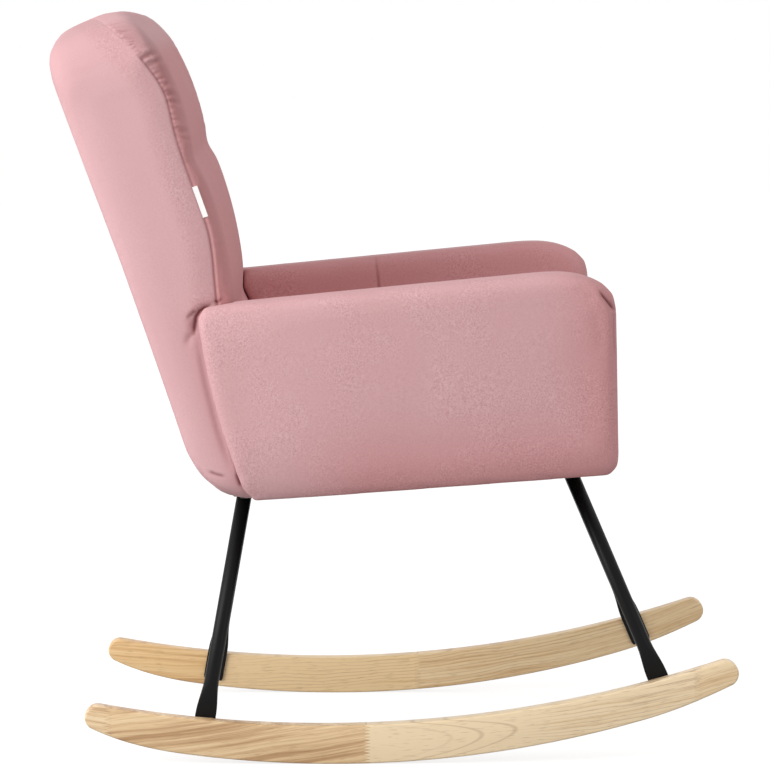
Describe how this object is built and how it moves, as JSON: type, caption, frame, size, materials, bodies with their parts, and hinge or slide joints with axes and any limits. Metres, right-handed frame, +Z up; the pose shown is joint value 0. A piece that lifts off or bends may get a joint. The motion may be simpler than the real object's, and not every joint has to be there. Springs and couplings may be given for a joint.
{
  "type": "rocking armchair",
  "caption": "Padded high-back armchair with box arms on slim steel tube legs bolted to two curved wooden rockers; it rocks on the floor.",
  "frame": {"origin": "on the floor, under the middle of the chair's bounding box", "axes": "+Z up; -Y is the front, where the sitter faces; +X is the sitter's left; X runs from rocker to rocker"},
  "size_m": [0.6736, 0.891, 0.9652],
  "materials": {
    "velvet": "short-pile velvet",
    "wood": "satin lacquer, finger-jointed staves",
    "leg_paint": "satin black powder coat",
    "bare_steel": "zinc plated",
    "frame_board": "bare board",
    "lining": "thin non-woven cloth",
    "label": "woven satin, blank"
  },
  "bodies": {
    "root": {"arm_board_left": "frame_board", "arm_board_right": "frame_board", "arm_pad_left": "velvet", "arm_pad_right": "velvet", "back_cushion": "velvet", "back_shell": "velvet", "back_stile_left": "frame_board", "back_stile_right": "frame_board", "back_top_rail": "frame_board", "dust_cover": "lining", "foot_bolt_front_left_lower": "bare_steel", "foot_bolt_front_left_upper": "bare_steel", "foot_bolt_front_right_lower": "bare_steel", "foot_bolt_front_right_upper": "bare_steel", "foot_bolt_rear_left_lower": "bare_steel", "foot_bolt_rear_left_upper": "bare_steel", "foot_bolt_rear_right_lower": "bare_steel", "foot_bolt_rear_right_upper": "bare_steel", "insert_front_left_lower": "bare_steel", "insert_front_left_upper": "bare_steel", "insert_front_right_lower": "bare_steel", "insert_front_right_upper": "bare_steel", "insert_rear_left_lower": "bare_steel", "insert_rear_left_upper": "bare_steel", "insert_rear_right_lower": "bare_steel", "insert_rear_right_upper": "bare_steel", "leg_front_left": "leg_paint", "leg_front_right": "leg_paint", "leg_plate_front_left": "leg_paint", "leg_plate_front_right": "leg_paint", "leg_plate_rear_left": "leg_paint", "leg_plate_rear_right": "leg_paint", "leg_rear_left": "leg_paint", "leg_rear_right": "leg_paint", "plate_bolt_front_left_1": "bare_steel", "plate_bolt_front_left_2": "bare_steel", "plate_bolt_front_left_3": "bare_steel", "plate_bolt_front_right_1": "bare_steel", "plate_bolt_front_right_2": "bare_steel", "plate_bolt_front_right_3": "bare_steel", "plate_bolt_rear_left_1": "bare_steel", "plate_bolt_rear_left_2": "bare_steel", "plate_bolt_rear_left_3": "bare_steel", "plate_bolt_rear_right_1": "bare_steel", "plate_bolt_rear_right_2": "bare_steel", "plate_bolt_rear_right_3": "bare_steel", "rocker_left": "wood", "rocker_right": "wood", "seam_label": "label", "seat_cushion": "velvet", "seat_front_panel": "velvet", "seat_rail_front": "frame_board", "seat_rail_left": "frame_board", "seat_rail_rear": "frame_board", "seat_rail_right": "frame_board", "seat_spring_1": "bare_steel", "seat_spring_2": "bare_steel", "seat_spring_3": "bare_steel", "seat_spring_4": "bare_steel"}
  },
  "joints": []
}
